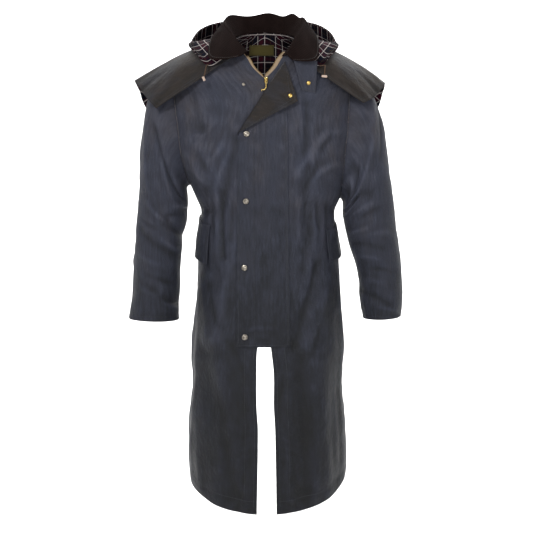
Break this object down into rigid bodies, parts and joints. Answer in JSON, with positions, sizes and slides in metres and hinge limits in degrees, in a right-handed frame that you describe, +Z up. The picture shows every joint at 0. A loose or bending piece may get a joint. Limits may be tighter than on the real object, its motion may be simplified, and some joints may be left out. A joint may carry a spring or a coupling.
{
  "type": "duster coat",
  "caption": "Long waxed duster coat with shoulder cape, corduroy collar, laid-back hood, storm flap over a zip, and a riding vent, kept in its worn hollow form.",
  "frame": {"origin": "nape of the wearer's neck, 22 mm below the middle of the collar's seam at the back", "axes": "+Z up, -Y to the front, +X to the wearer's left"},
  "size_m": [0.7325, 0.3946, 1.3151],
  "materials": {
    "waxed_cotton": "satin, waxed",
    "corduroy": "ribbed pile",
    "tartan_lining": "brushed checked cotton",
    "woven_label": "woven, blank",
    "zip_tape": "woven tape",
    "brass": "bright cast",
    "nickel_stud": "worn antique plate",
    "hood_cord": "braided",
    "cord_toggle": "moulded"
  },
  "bodies": {
    "coat": {"back_left": "waxed_cotton", "back_lining": "tartan_lining", "back_right": "waxed_cotton", "cape": "waxed_cotton", "collar": "corduroy", "cord_toggle_left": "cord_toggle", "cord_toggle_right": "cord_toggle", "flap_snap_1": "nickel_stud", "flap_snap_2": "nickel_stud", "flap_snap_3": "nickel_stud", "flap_snap_4": "nickel_stud", "flap_socket": "brass", "front_left": "waxed_cotton", "front_right": "waxed_cotton", "hood": "waxed_cotton", "hood_cord_left": "hood_cord", "hood_cord_right": "hood_cord", "hood_lining": "tartan_lining", "neck_label": "woven_label", "pocket_flap_left": "waxed_cotton", "pocket_flap_right": "waxed_cotton", "sleeve_left": "waxed_cotton", "sleeve_right": "waxed_cotton", "storm_flap": "waxed_cotton", "tab_socket": "brass", "throat_stud": "nickel_stud", "throat_tab": "waxed_cotton", "zip_slider": "brass", "zip_tape_left": "zip_tape", "zip_tape_right": "zip_tape"},
    "pull": {"zip_pull": "brass"}
  },
  "joints": [
    {"name": "pull_swing", "type": "hinge", "parent": "coat", "child": "pull", "pos_m": [0.003, -0.13188, -0.11607], "axis": [-1, 0, 0], "range_deg": [0, 100]}
  ]
}
